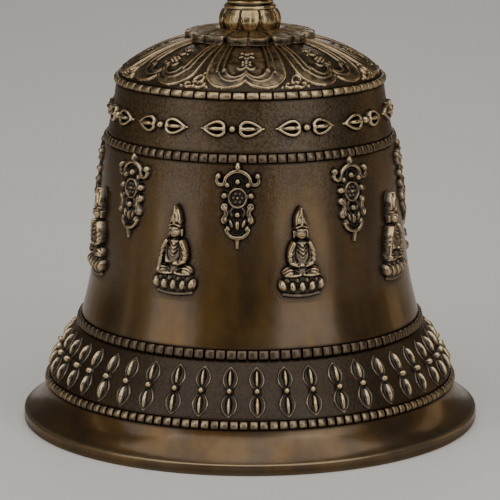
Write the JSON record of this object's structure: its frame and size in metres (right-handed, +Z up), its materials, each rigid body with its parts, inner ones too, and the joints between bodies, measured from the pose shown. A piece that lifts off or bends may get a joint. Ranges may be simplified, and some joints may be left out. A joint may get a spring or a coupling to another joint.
{
  "type": "temple hand bell",
  "caption": "Cast hand bell with a flared mouth, ornamented bands, a stacked handle with a pronged crown, and a clapper that hangs and swings inside.",
  "frame": {"origin": "centre of the mouth, on the plane that the rim stands on", "axes": "+Z up along the bell's axis from the mouth to the tip of the handle; -Y is the front"},
  "size_m": [0.1, 0.1, 0.19],
  "materials": {
    "bell_bronze": "dark antique bronze, polished on the high points",
    "handle_brass": "worn satin brass with dark recesses",
    "rod_steel": "dull steel",
    "clapper_iron": "forged black iron, worn where it strikes"
  },
  "bodies": {
    "bell": {"bell_casting": "bell_bronze", "crown_lotus_plate": "bell_bronze", "handle_foot": "handle_brass", "handle_lower_ring": "handle_brass", "handle_vase": "handle_brass", "handle_waist_ring": "handle_brass", "handle_drum": "handle_brass", "handle_upper_ring": "handle_brass", "handle_lotus_cup": "handle_brass", "vajra_hub": "handle_brass", "centre_prong": "handle_brass", "outer_prong_1": "handle_brass", "outer_prong_2": "handle_brass", "outer_prong_3": "handle_brass", "outer_prong_4": "handle_brass", "tie_rod": "rod_steel", "crown_washer": "rod_steel", "crown_nut": "rod_steel"},
    "link": {"clapper_link": "clapper_iron"},
    "clapper": {"clapper_rod": "clapper_iron", "clapper_ball": "clapper_iron", "clapper_rivet": "clapper_iron"}
  },
  "joints": [
    {"name": "clapper_turn", "type": "hinge", "parent": "bell", "child": "link", "pos_m": [0, 0, 0.0646], "axis": [0, 0, 1], "range_deg": [-25, 25]},
    {"name": "clapper_swing", "type": "hinge", "parent": "link", "child": "clapper", "pos_m": [0, 0, 0.06034], "axis": [1, 0, 0], "range_deg": [-35, 35]}
  ]
}
